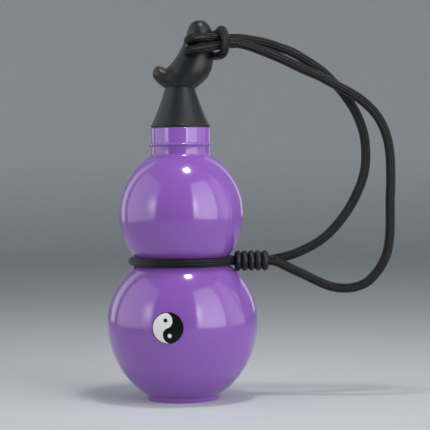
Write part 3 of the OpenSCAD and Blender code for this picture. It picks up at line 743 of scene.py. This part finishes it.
# The cap
def cone_section():
    """The cone's outside and inside, as a closed half section."""
    top_z = CONE_Z + CONE_H
    half = math.dist((CONE_FOOT_R, CONE_Z), (CONE_TOP_R, top_z)) / 2
    run = (CONE_H / (2 * half), (CONE_FOOT_R - CONE_TOP_R) / (2 * half))
    reach = math.sqrt(CONE_SIDE_R ** 2 - half ** 2)
    c = ((CONE_FOOT_R + CONE_TOP_R) / 2 + run[0] * reach, (CONE_Z + top_z) / 2 + run[1] * reach)

    def side(z, g=0.0):
        return c[0] - math.sqrt((CONE_SIDE_R + g) ** 2 - (z - c[1]) ** 2)

    lip = CONE_FOOT_R + 0.2
    line = [(19.4, CONE_Z), (lip - 0.55, CONE_Z), (lip - 0.3, CONE_Z + 0.08), (lip - 0.06, CONE_Z + 0.32),
            (lip, CONE_Z + 0.6), (lip - 0.03, CONE_Z + 0.95), (lip - 0.25, CONE_Z + 1.3),
            (side(CONE_Z + 1.7), CONE_Z + 1.7)]
    line += [(side(z), z) for z in [CONE_Z + 1.7 + (CONE_H - 2.2) * k / 30 for k in range(1, 31)]]
    line += [(side(top_z) - 0.15, top_z - 0.1), (side(top_z) - 0.5, top_z), (2.1, top_z), (2.1, top_z - 3.0)]
    line += [(side(top_z - 3.0, 2.0), top_z - 3.0), (side(CONE_Z + 2, 2.0), CONE_Z + 2.0), (19.4, CONE_Z + 2.0),
             (19.4, CONE_Z)]
    return line


def stem_mesh(name, sides, material):
    """The stem as a loft through its rings, closed at both tips."""
    rows = smooth_rows(STEM_RINGS, 6)
    verts = []
    for ax, az, bx, bz, depth in rows:
        mx, mz, hx, hz = (ax + bx) / 2, (az + bz) / 2, (bx - ax) / 2, (bz - az) / 2
        for j in range(sides):
            a = 2 * math.pi * j / sides
            verts.append(((mx + hx * math.cos(a)) * MM, depth * math.sin(a) * MM,
                          (STEM_Z + mz + hz * math.cos(a)) * MM))
    faces = [(i * sides + j, (i + 1) * sides + j, (i + 1) * sides + (j + 1) % sides, i * sides + (j + 1) % sides)
             for i in range(len(rows) - 1) for j in range(sides)]
    faces.append(tuple(range(sides - 1, -1, -1)))
    faces.append(tuple(range((len(rows) - 1) * sides, len(rows) * sides)))
    obj = new_object(name, verts, faces, material)
    tidy_normals(obj)
    return obj


def cutter(name, verts, faces):
    """A closed helper mesh for cutting, removed after use."""
    obj = new_object(name, verts, faces, smooth=False)
    tidy_normals(obj)
    return obj


def cut(obj, tools):
    """Cuts helper meshes out of an object and removes them."""
    for tool in tools:
        modifier = obj.modifiers.new("Cut", "BOOLEAN")
        modifier.operation = "DIFFERENCE"
        modifier.solver = "EXACT"
        modifier.object = tool
    baked(obj)
    for tool in tools:
        mesh = tool.data
        bpy.data.objects.remove(tool)
        bpy.data.meshes.remove(mesh)
    return obj


def hole_cutter():
    """The strap hole's shape, right through the stem."""
    lean = math.radians(HOLE_LEAN)
    way = (math.sin(lean), math.cos(lean))
    outline = []
    for sign, first in ((1, 0), (-1, 180)):
        cx, cz = HOLE_X + sign * way[0] * HOLE_HALF, HOLE_Z + sign * way[1] * HOLE_HALF
        for k in range(17):
            a = math.radians(first - HOLE_LEAN + 180 * k / 16)
            outline.append((cx + HOLE_R * math.cos(a), cz + HOLE_R * math.sin(a)))
    n = len(outline)
    verts = [(x * MM, y, (STEM_Z + z) * MM) for y in (-0.03, 0.03) for x, z in outline]
    faces = [(i, (i + 1) % n, n + (i + 1) % n, n + i) for i in range(n)]
    faces += [tuple(range(n)), tuple(range(2 * n - 1, n - 1, -1))]
    return cutter("cut_hole", verts, faces)


def cone_cutter(gap=0.18):
    """The cone's outside grown by a hair, so that the stem sits over it with a fine joint."""
    section = [(0.0, CONE_Z + 10)] + [(r + gap, z) for r, z in cone_section()[8:38] if z > CONE_Z + 10]
    section += [(CONE_TOP_R + gap, STEM_Z + 0.1), (0.0, STEM_Z + 0.1)]
    n, sides = len(section), 96
    verts, faces = [], []
    for j in range(sides):
        a = 2 * math.pi * j / sides
        verts += [(r * math.cos(a) * MM, r * math.sin(a) * MM, z * MM) for r, z in section]
    for j in range(sides):
        k = (j + 1) % sides
        for i in range(n - 1):
            faces.append((j * n + i, j * n + i + 1, k * n + i + 1, k * n + i))
    obj = new_object("cut_cone", verts, faces, smooth=False)
    tidy_normals(obj, 1e-7)
    return obj


# The cord's routes
def strand_path(points):
    """A strand's path in metres: from inside the slider to the hitch."""
    lift = STEM_Z - SLIDER_Z - ROUTE_RISE
    last = len(points) - 1
    rows = []
    for i, (x, y, h) in enumerate(points):
        if i == 0:
            x, y = SLIDER_END, math.copysign(LINE_Y, y)
        rows.append((x, y, SLIDER_Z + h + lift * i / last))
    rows = [(LEG_X, rows[0][1], SLIDER_Z)] + rows
    return even_path([Vector(p) * MM for p in smooth_rows(rows, 8)], 0.0015)


def waist_path():
    """The waist turn: out of the slider, round the waist and back."""
    bend = [(BEND_X + BEND_R * math.cos(a), LEG_Y + BEND_R * math.sin(a), SLIDER_Z + (TURN_Z - SLIDER_Z) * k / 8)
            for k, a in ((k, math.radians(270) - (math.pi / 2 - BEND_A) * k / 8) for k in range(8))]
    turn = [(TURN_R * math.cos(a), TURN_R * math.sin(a), TURN_Z)
            for a in (BEND_A + (2 * math.pi - 2 * BEND_A) * k / 96 for k in range(97))]
    rows = [(LEG_X, LINE_Y, SLIDER_Z)] + bend + turn + [(x, -y, z) for x, y, z in bend[::-1]]
    rows.append((LEG_X, -LINE_Y, SLIDER_Z))
    return even_path([Vector(p) * MM for p in rows], 0.0015)


def split_at(path, test):
    """Cuts a path in two where a test first holds."""
    k = next(i for i, p in enumerate(path) if test(p))
    return path[:k + 1], path[k:]


# The operators, one for each piece or group
class GOURD_OT_studio(bpy.types.Operator):
    """Makes the floor, the lamps and the camera"""
    bl_idname = "gourd.studio"
    bl_label = "Studio"

    def execute(self, context):
        s = context.scene.gourd_studio
        material, tree, shader = new_material("studio_floor")
        shader.inputs["Base Color"].default_value = s.floor
        shader.inputs["Roughness"].default_value = 0.75
        shader.inputs["Specular IOR Level"].default_value = 0.2
        self.pale_wall(tree, shader, s.floor)
        flat, height, bend, sides = 2.0, 2.6, 0.8, 96
        line = [(flat * k / 8, 0.0) for k in range(1, 9)]
        line += [(flat + bend * math.sin(a), bend - bend * math.cos(a))
                 for a in (math.pi / 2 * k / 16 for k in range(1, 17))]
        line.append((flat + bend, height))
        verts = [(0.0, 0.0, 0.0)]
        for r, z in line:
            verts += [(r * math.cos(2 * math.pi * j / sides), r * math.sin(2 * math.pi * j / sides), z)
                      for j in range(sides)]
        faces = [(0, 1 + j, 1 + (j + 1) % sides) for j in range(sides)]
        for i in range(len(line) - 1):
            low, high = 1 + i * sides, 1 + (i + 1) * sides
            faces += [(low + j, high + j, high + (j + 1) % sides, low + (j + 1) % sides) for j in range(sides)]
        floor = new_object("studio_floor", verts, faces, material)
        world = bpy.data.worlds.new("studio_air")
        context.scene.world = world
        world.use_nodes = True
        world.node_tree.nodes["Background"].inputs["Color"].default_value = (0.62, 0.66, 0.70, 1)
        world.node_tree.nodes["Background"].inputs["Strength"].default_value = 0.42
        # name, degrees right of the camera, height of the middle, distance, width, height, watts,
        # then the glow on it: strength, place across and up
        lamps = [
            ("left_panel", -80, 0.53, 0.75, 1.03, 1.04, 2.6, 2.6, 0.88, 0.31),
            ("right_panel", 46, 0.60, 0.85, 0.72, 1.18, 5.0, 1.3, 0.06, 0.30),
            ("right_side_panel", 90, 0.60, 0.95, 0.62, 1.18, 1.3, 0.0, 0.5, 0.5),
            ("left_rim", -132, 0.80, 1.20, 0.34, 1.58, 0.8, 0.0, 0.5, 0.5),
            ("right_rim", 150, 1.00, 1.80, 0.34, 1.90, 0.8, 0.0, 0.5, 0.5),
            ("top_lamp", 33, 0.68, 0.15, 0.07, 0.07, 0.6, 0.0, 0.5, 0.5),
        ]
        for name, right, middle, distance, width, height, power, glow, across, up in lamps:
            lamp = bpy.data.lights.new(name, "AREA")
            lamp.shape = "RECTANGLE"
            lamp.size, lamp.size_y = width, height
            lamp.energy = power
            lamp.spread = math.radians(130)
            obj = bpy.data.objects.new(name, lamp)
            context.scene.collection.objects.link(obj)
            a = math.radians(right)
            obj.location = (math.sin(a) * distance, -math.cos(a) * distance, middle)
            way = Vector(obj.location) - Vector((0, 0, 0.14))
            if height > 0.5:
                way.z = 0
            obj.rotation_euler = way.to_track_quat("Z", "Y").to_euler()
            obj.visible_camera = False
            if glow:
                self.glow(lamp, glow, across, up)
        self.camera(context, s)
        context.scene.view_settings.view_transform = "Standard"
        return {"FINISHED"}

    def pale_wall(self, tree, shader, colour):
        """Lightens the backdrop for the camera and for mirrored and refracted rays alone."""
        rays = tree.nodes.new("ShaderNodeLightPath")
        seen = math_node(tree, "MAXIMUM", rays.outputs["Is Camera Ray"], rays.outputs["Is Glossy Ray"])
        seen = math_node(tree, "MAXIMUM", seen, rays.outputs["Is Transmission Ray"])
        place = tree.nodes.new("ShaderNodeTexCoord")
        split = tree.nodes.new("ShaderNodeSeparateXYZ")
        tree.links.new(place.outputs["Object"], split.inputs[0])
        rise = math_node(tree, "MULTIPLY", split.outputs[2], 5.0, clamp=True)
        shader.inputs["Emission Color"].default_value = colour
        tree.links.new(math_node(tree, "MULTIPLY", math_node(tree, "MULTIPLY", seen, rise), 0.10),
                       shader.inputs["Emission Strength"])

    def glow(self, lamp, strength, across, up):
        """A soft hot spot on a panel, as a lamp behind its cloth makes."""
        lamp.use_nodes = True
        tree = lamp.node_tree
        place = tree.nodes.new("ShaderNodeNewGeometry")
        split = tree.nodes.new("ShaderNodeSeparateXYZ")
        tree.links.new(place.outputs["Parametric"], split.inputs[0])
        terms = []
        for axis, middle, spread in ((0, across, 0.11), (1, up, 0.17)):
            away = math_node(tree, "DIVIDE", math_node(tree, "SUBTRACT", split.outputs[axis], middle), spread)
            terms.append(math_node(tree, "MULTIPLY", away, away))
        fall = math_node(tree, "POWER", 0.37, math_node(tree, "ADD", terms[0], terms[1]))
        tree.links.new(math_node(tree, "MULTIPLY_ADD", fall, strength, 0.85), tree.nodes["Emission"].inputs["Strength"])

    def camera(self, context, s):
        """The camera at the photograph's height and angle."""
        data = bpy.data.cameras.new("camera")
        data.sensor_width = 36.0
        data.lens = s.lens
        obj = bpy.data.objects.new("camera", data)
        context.scene.collection.objects.link(obj)
        pitch, roll = math.radians(1.546), 0.0113
        ahead = Vector((0, math.cos(pitch), -math.sin(pitch)))
        up0 = Vector((0, math.sin(pitch), math.cos(pitch)))
        right0 = Vector((1, 0, 0))
        right = right0 * math.cos(roll) - up0 * math.sin(roll)
        up = right0 * math.sin(roll) + up0 * math.cos(roll)
        rows = Matrix((right, up, -ahead)).transposed()
        obj.matrix_world = Matrix.Translation((0.02505, -s.distance, 0.1705)) @ rows.to_4x4()
        context.scene.camera = obj


class GOURD_OT_shell(bpy.types.Operator):
    """Makes the moulded bottle body"""
    bl_idname = "gourd.shell"
    bl_label = "Bottle body"

    def execute(self, context):
        s = context.scene.gourd_shell
        purple = moulded_material("shell_gloss", s.colour, s.gloss, grain=900.0, drift=14.0, rough_range=0.05,
                                  tone_range=0.10, bump=0.015, coat=0.55, coat_roughness=0.04)
        body = turned("bottle_body", bottle_section(), s.segments, purple, 30)
        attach(body, "bottle")
        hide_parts("bottle_shell")
        return {"FINISHED"}


class GOURD_OT_emblem(bpy.types.Operator):
    """Makes the round two-tone emblem"""
    bl_idname = "gourd.emblem"
    bl_label = "Emblem"

    def execute(self, context):
        white = moulded_material("emblem_white", (0.74, 0.75, 0.72, 1), 0.32, grain=3000.0, bump=0.05,
                                 tone_range=0.05)
        black = moulded_material("emblem_black", (0.004, 0.004, 0.0045, 1), 0.24, grain=3000.0, bump=0.05,
                                 specular=0.2)
        edge, dot = 0.5, EMBLEM_R * 0.13
        light = comma_outline(EMBLEM_R - edge)
        upper = arc((0, EMBLEM_R / 2), dot, 0, 360, 24)[:-1]
        lower = arc((0, -EMBLEM_R / 2), dot, 0, 360, 24)[:-1]
        rim = arc((0, 0), EMBLEM_R, 0, 360, 96)[:-1]
        pieces = [
            ("emblem_light_half", [light, upper], "emblem_light", "emblem_white", white),
            ("emblem_light_dot", [lower], "emblem_light", "emblem_white", white),
            ("emblem_dark_half", [rim, light, lower], "emblem_dark", "emblem_black", black),
            ("emblem_dark_dot", [upper], "emblem_dark", "emblem_black", black),
        ]
        for name, outlines, node, slot, material in pieces:
            piece = emblem_piece(name, outlines, 0.01, 0.28, EMBLEM_LEAN, material)
            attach(piece, "bottle")
            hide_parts(node)
        return {"FINISHED"}


class GOURD_OT_cap(bpy.types.Operator):
    """Makes the cap's cone and stem and finishes its inner pieces"""
    bl_idname = "gourd.cap"
    bl_label = "Cap"

    def execute(self, context):
        s = context.scene.gourd_cap
        satin = moulded_material("cap_satin", s.colour, 0.38, grain=1600.0, drift=30.0, rough_range=0.12,
                                 tone_range=0.25, bump=0.12, specular=0.38)
        cone = turned("cap_cone_skin", cone_section(), 128, satin, 30)
        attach(cone, "cap")
        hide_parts("cap_cone")
        stem_satin = moulded_material("stem_satin", s.colour, 0.38, grain=1600.0, drift=30.0, rough_range=0.12,
                                      tone_range=0.25, bump=0.12, specular=0.38)
        # Painted reflections: brownish patches in the stem's colour where the surroundings reflect warm on the tab's
        # upturned face and the belly's lower edge
        tab, belly = (-14.0, -5.4, 11.6), (19.5, -5.0, 2.0)
        add_painted_reflection(stem_satin, [(Vector((tab[0], tab[1], STEM_Z + tab[2])) * MM, 0.0072),
                              (Vector((belly[0], belly[1], STEM_Z + belly[2])) * MM, 0.0070)],
                 (0.046, 0.034, 0.017, 1))
        stem = stem_mesh("cap_stem_skin", s.stem_sides, stem_satin)
        cut(stem, [hole_cutter(), cone_cutter()])
        smooth_by_angle(stem, 35)
        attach(stem, "cap")
        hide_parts("cap_stem")
        rubber = moulded_material("seal_rubber", (0.012, 0.012, 0.012, 1), 0.6, grain=1800.0, bump=0.1)
        steel, tree, shader = new_material("screw_steel")
        shader.inputs["Base Color"].default_value = (0.6, 0.6, 0.62, 1)
        shader.inputs["Metallic"].default_value = 1.0
        shader.inputs["Roughness"].default_value = 0.3
        for node, material in (("seal_ring", rubber), ("cap_plug", satin), ("stem_screw", steel)):
            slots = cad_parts[node].material_slots
            for slot in slots:
                slot.material = material
        return {"FINISHED"}


class GOURD_OT_cords(bpy.types.Operator):
    """Makes the braided cord: the waist turn, the two strands and the hitch"""
    bl_idname = "gourd.cords"
    bl_label = "Carrying cord"

    def execute(self, context):
        s = context.scene.gourd_cord
        braid = braid_material("cord_braid", s.colour, s.carriers, s.stitch)
        tight = braid_material("hitch_braid", s.colour, s.carriers, s.stitch * 0.9)
        waist = waist_path()
        leg = (LEG_X - BEND_X + BEND_R * (math.pi / 2 - BEND_A)) * MM
        step = path_length(waist) / (len(waist) - 1)
        slim = CORD_R - WAIST_CORD_R
        thick = [(CORD_R - slim * min(1.0, step * min(i, len(waist) - 1 - i) / leg)) * MM for i in range(len(waist))]
        self.piece("cord_waist_turn", waist, thick, braid, "cord_waist", s)
        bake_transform(bpy.data.objects["cord_waist_turn"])
        for side, points, node in (("front", FRONT_POINTS, "cord_front"), ("back", BACK_POINTS, "cord_back")):
            path = strand_path(points)
            low, high = split_at(path, lambda p: p.z > 0.150 and p.x > 0.1)
            begin = 0.0
            for part, run in (("lower", low), ("upper", high)):
                name = f"cord_{side}_{part}"
                piece = self.piece(name, run, [CORD_R * MM] * len(run), braid, node, s, begin)
                begin += path_length(run)
                if part == "lower":
                    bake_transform(piece)
                else:
                    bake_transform(piece)
        rows = [Vector((x, y, STEM_Z + h)) * MM for x, y, h in HITCH_POINTS]
        hitch = even_path([Vector(p) for p in smooth_rows(rows, 8)], 0.0012)
        total = path_length(hitch)
        radii = []
        for i, _ in enumerate(hitch):
            near = min(i, len(hitch) - 1 - i) * total / (len(hitch) - 1)
            radii.append((HITCH_R + (CORD_R - HITCH_R) * max(0.0, 1 - near / 0.014)) * MM)
        piece = self.piece("cord_hitch_loops", hitch, radii, tight, "cord_hitch", s)
        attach(piece, "cap")
        return {"FINISHED"}

    def piece(self, name, path, radii, material, node, s, begin=0.0):
        """One stretch of cord, hiding the part it replaces."""
        obj = cord_mesh(name, path, radii, s.sides, material, begin)
        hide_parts(node)
        return obj


class GOURD_OT_slider(bpy.types.Operator):
    """Makes the ribbed cord slider"""
    bl_idname = "gourd.slider"
    bl_label = "Slider"

    def execute(self, context):
        rubber = moulded_material("slider_rubber", (0.008, 0.009, 0.012, 1), 0.42, grain=1400.0, drift=60.0,
                                  rough_range=0.12, tone_range=0.2, bump=0.15, specular=0.4)
        core, rib = CORE_R, RIB_PITCH / 2
        slot = CORD_R + 0.25
        n = 56
        half = n // 2

        def oblong(radius, x):
            out = []
            for k in range(n):
                sign = 1 if k < half else -1
                a = math.radians(-90 + 180 * (k if k < half else k - half) / (half - 1))
                y = sign * (LINE_Y + radius * math.cos(a))
                z = sign * radius * math.sin(a)
                out.append((x, y, z))
            return out

        profile = [(slot, -rib), (core - 0.35, -rib)]
        profile += [(core + rib * math.sin(a), -rib * math.cos(a))
                    for a in (math.radians(12 + 156 * k / 12) for k in range(13))]
        profile += [(core - 0.35, rib), (slot, rib)]
        verts, faces = [], []
        for radius, x in profile:
            verts += [(px * MM, py * MM, pz * MM) for px, py, pz in oblong(radius, x)]
        m = len(profile)
        for i in range(m):
            for j in range(n):
                a, b = i * n, ((i + 1) % m) * n
                faces.append((a + j, a + (j + 1) % n, b + (j + 1) % n, b + j))
        band = new_object("slider_body", verts, faces, rubber)
        tidy_normals(band)
        with_nodes(band, node_tree("Row Of Copies", row_of_copies_tree),
                   {"Count": RIB_COUNT, "Pitch": RIB_PITCH * MM, "Material": rubber})
        band.data.transform(Matrix.Translation(((SLIDER_X + rib) * MM, 0, SLIDER_Z * MM)))
        smooth_by_angle(band, 50)
        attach(band, "slider")
        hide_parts("cord_slider")
        return {"FINISHED"}


class GOURD_PT_panel(bpy.types.Panel):
    """Sizes, colours and pieces of the bottle"""
    bl_idname = "GOURD_PT_panel"
    bl_label = "Gourd Bottle"
    bl_space_type = "VIEW_3D"
    bl_region_type = "UI"
    bl_category = "Gourd Bottle"

    def draw(self, context):
        layout = self.layout
        for group in ("gourd_studio", "gourd_shell", "gourd_cap", "gourd_cord"):
            box = layout.box()
            settings = getattr(context.scene, group)
            for key in settings.__annotations__:
                box.prop(settings, key)
        for cls in OPERATORS:
            layout.operator(cls.bl_idname)


SETTINGS = {
    "gourd_studio": GourdStudioSettings,
    "gourd_shell": GourdShellSettings,
    "gourd_cap": GourdCapSettings,
    "gourd_cord": GourdCordSettings,
}
OPERATORS = (GOURD_OT_studio, GOURD_OT_cords, GOURD_OT_shell, GOURD_OT_emblem, GOURD_OT_cap, GOURD_OT_slider)


def register():
    for name, cls in SETTINGS.items():
        bpy.utils.register_class(cls)
        setattr(bpy.types.Scene, name, PointerProperty(type=cls))
    for cls in OPERATORS + (GOURD_PT_panel,):
        bpy.utils.register_class(cls)


def unregister():
    for cls in (GOURD_PT_panel,) + OPERATORS[::-1]:
        bpy.utils.unregister_class(cls)
    for name, cls in SETTINGS.items():
        delattr(bpy.types.Scene, name)
        bpy.utils.unregister_class(cls)


def main():
    register()
    for cls in OPERATORS:
        group, name = cls.bl_idname.split(".")
        getattr(getattr(bpy.ops, group), name)()


if __name__ == "__main__":
    main()
